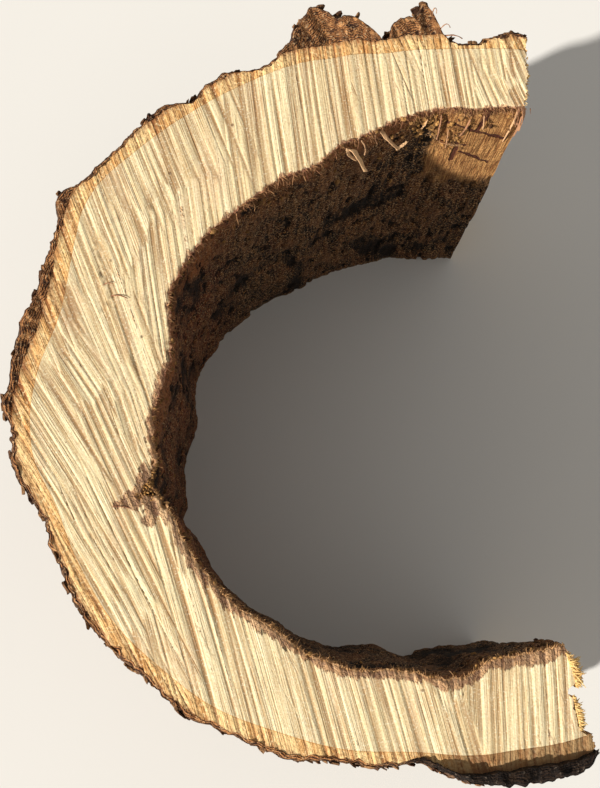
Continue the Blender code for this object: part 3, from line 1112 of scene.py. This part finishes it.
def split_wood():
    """Bright, fibrous wood where the wall was split along the grain."""
    wood = Finish("split_wood", 0.75)
    fibre = wood.stretched(900, 900, 14, detail=3.0)
    band = wood.stretched(150, 150, 6)
    colour = wood.coats(
        wood.mix(band.step(0.35, 0.7), rgb(206, 164, 100), rgb(236, 206, 146)),
        (fibre.step(0.5, 0.8), 0.5, (146, 102, 60)),
        (wood.stretched(70, 70, 9, detail=3.0).step(0.56, 0.72), 0.4, (146, 124, 98)),
    )
    return wood.done(colour, fibre + band * 0.5, 0.0016, 0.9)


def outer_bark_skin():
    """The dark outer bark: nearly black in its furrows, greyish brown on its plates."""
    bark = Finish("outer_bark", 0.92)
    flakes = bark.noise(bark.place, 150.0, detail=4.0, roughness=0.7)
    scales = bark.stretched(420, 420, 170, detail=3.0, roughness=0.65)
    colour = bark.coats(
        bark.mix(flakes.step(0.4, 0.6), rgb(48, 32, 24), rgb(108, 78, 54)),
        (scales.step(0.54, 0.68), 0.6, (152, 124, 96)),
        (scales.step(0.45, 0.34), 0.7, (38, 24, 18)),
        (bark.painted("furrow").step(0.55, 0.1), 0.8, (60, 29, 18)),
    )
    relief = flakes * 0.8 + scales * 0.9 + bark.noise(bark.place, 900.0) * 0.3
    return bark.done(colour, relief, 0.0026, 0.95)


def sawn_crust():
    """Outer bark cut across: thin rust and dark brown layers, like the pages of a book."""
    bark = Finish("sawn_crust", 0.9)
    crumb = bark.noise(bark.place, 560.0, detail=3.0, roughness=0.6)
    patch = bark.noise(bark.place, 190.0, detail=3.0)
    page = bark.math("FRACT", bark.painted("layers") + (crumb - 0.5) * 0.9)
    colour = bark.coats(
        bark.mix(page.step(0.15, 0.75), rgb(58, 30, 21), rgb(176, 120, 72)),
        (patch.step(0.54, 0.64), 0.85, (44, 25, 18)),
        (patch.step(0.44, 0.34), 0.7, (206, 150, 96)),
        # Painted shade: the crust is darker in the saw's grooves.
        (bark.painted("ridge").step(0.6, 0.2), 0.6, (48, 26, 18)),
        (crumb.step(0.56, 0.66), 0.8, (206, 170, 128)),
        (bark.painted("from_skin").step(1.6, 0.2), 0.6, (74, 54, 42)),
    )
    # The crust on the lower arm is coloured nearly black, with grey specks.
    lower_arm = bark.x.step(0.03, 0.09) * bark.y.step(-0.2, -0.225)
    near_black_crust = bark.mix(crumb.step(0.6, 0.7), rgb(18, 14, 12), rgb(92, 82, 74))
    colour = bark.mix(lower_arm * 0.95, colour, near_black_crust)
    return bark.done(colour, page * 0.5 + crumb + patch * 0.6, 0.0020, 0.95)


def inner_bark_finish():
    """Inner bark cut across: orange-tan, streaked red-brown along the saw's strokes by painted shade in
    their grooves, with a painted shadow on the lower arm.
    """
    bark = Finish("inner_bark", 0.82)
    broad, middle, fine = saw_lines(bark)
    crumb = bark.noise(bark.place, 520.0)
    from_wood = bark.painted("from_wood")
    outside = from_wood + (bark.noise(bark.place, 220.0) - 0.5) * 6
    # Where the inner bark on the lower arm gets a painted shadow.
    lower_arm = bark.x.step(0.05, 0.11) * bark.y.step(-0.19, -0.22)
    colour = bark.coats(
        bark.mix(broad.step(0.36, 0.64), rgb(220, 166, 102), rgb(244, 208, 148)),
        # Painted highlight and shade: paler on the crests of the middle streaks, darker in their
        # valleys, in the grooves and along the fine streaks, as the bump rises and falls.
        (middle.step(0.48, 0.66), 0.55, (244, 212, 150)),
        (middle.step(0.45, 0.33), 0.7, (156, 94, 46)),
        (bark.painted("ridge").step(0.55, 0.1), 0.8, (110, 56, 28)),
        (fine.step(0.47, 0.34), 0.45, (146, 88, 44)),
        (crumb.step(0.56, 0.68), 0.4, (126, 74, 40)),
        (crumb.step(0.44, 0.34), 0.5, (252, 224, 172)),
        (outside.step(7.0, 11.0), 0.5, (124, 68, 40)),
        (from_wood.step(1.3, 0.7), 0.5, (150, 108, 62)),
        # Painted shadow over the inner bark of the lower arm, deeper than the one the proud bark casts.
        (lower_arm, 0.7, (116, 82, 54)),
    )
    return bark.done(colour, middle * 0.6 + fine * 0.35 + crumb * 0.5, 0.0015, 1.0)


def toned(name, dark, light, roughness, fibrous):
    """A finish for small loose pieces, each of which has its own tone between two colours."""
    loose = Finish(name, roughness)
    streak = loose.noise(loose.place, 700.0 if fibrous else 420.0, detail=3.0)
    colour = loose.mix((loose.painted("tone") + (streak - 0.5) * 0.5).clear(), rgb(*dark), rgb(*light))
    colour = loose.mix(streak.step(0.56, 0.7) * 0.5, colour, rgb(*(v * 0.45 for v in dark)))
    return loose.done(colour, streak, 0.0012 if fibrous else 0.0024, 0.9)


def floor_finish():
    pale = Finish("pale_floor", 0.9)
    return pale.done(pale.mix(pale.noise(pale.place, 3.0), rgb(226, 225, 222), rgb(232, 231, 228)))


# ---------------------------------------------------------------- floor, lights and camera


def stage():
    deselect()
    bpy.ops.mesh.primitive_plane_add(size=FLOOR_SIZE, location=(0, 0, LOG_LOW[2] - FLOOR_GAP))
    floor = bpy.context.object
    floor.name = "floor"
    floor.data.materials.append(floor_finish())


def camera():
    data = bpy.data.cameras.new("camera")
    data.lens = 50
    eye = bpy.data.objects.new("camera", data)
    right, up = Vector(CAMERA_RIGHT), Vector(CAMERA_UP)
    back = right.cross(up)
    turned = Matrix((right, up, back)).transposed().to_4x4()
    eye.matrix_world = Matrix.Translation(CAMERA_PLACE) @ turned
    bpy.context.scene.collection.objects.link(eye)
    bpy.context.scene.camera = eye


def lights():
    data = bpy.data.lights.new("key", "SUN")
    data.energy, data.color = KEY_STRENGTH, KEY_COLOUR
    data.angle = KEY_ANGLE
    key = bpy.data.objects.new("key", data)
    key.rotation_euler = Vector(KEY_DIRECTION).to_track_quat("Z", "Y").to_euler()
    bpy.context.scene.collection.objects.link(key)
    world = bpy.data.worlds.new("studio")
    world.use_nodes = True
    sky = world.node_tree.nodes["Background"]
    sky.inputs["Color"].default_value = SKY_COLOUR
    sky.inputs["Strength"].default_value = SKY_STRENGTH
    bpy.context.scene.world = world
    bpy.context.scene.view_settings.view_transform = "Standard"


camera()
lights()
stage()
sawn, rotted, split = sawn_wood(), rotted_wood(), split_wood()
skin = outer_bark_skin()
sawn_end([sawn, rotted, split])
wood_wall([sawn, rotted, split])
inner_bark(inner_bark_finish())
outer_bark([sawn_crust(), skin])
fibre = toned("rim_fibre", (104, 58, 44), (214, 166, 112), 0.85, True)
copies("rim_fibres", strand(4, 3, 0.28), rim_fibres, fibre)
splinter = toned("splinter", (124, 64, 48), (240, 196, 146), 0.8, True)
copies("splinters", strand(6, 8, 0.6), splinters, splinter)
bristle = toned("tip_bristle", (196, 142, 76), (248, 216, 146), 0.75, True)
copies("tip_bristles", strand(4, 3, 0.4), tip_bristles, bristle)
plate = toned("bark_flake", (70, 44, 30), (150, 112, 76), 0.92, False)
copies("bark_flakes", flake(), bark_flakes, plate)
crumb = toned("rot_crumb", (58, 32, 22), (206, 156, 92), 0.9, False)
copies("rot_crumbs", ball(), rot_crumbs, crumb)
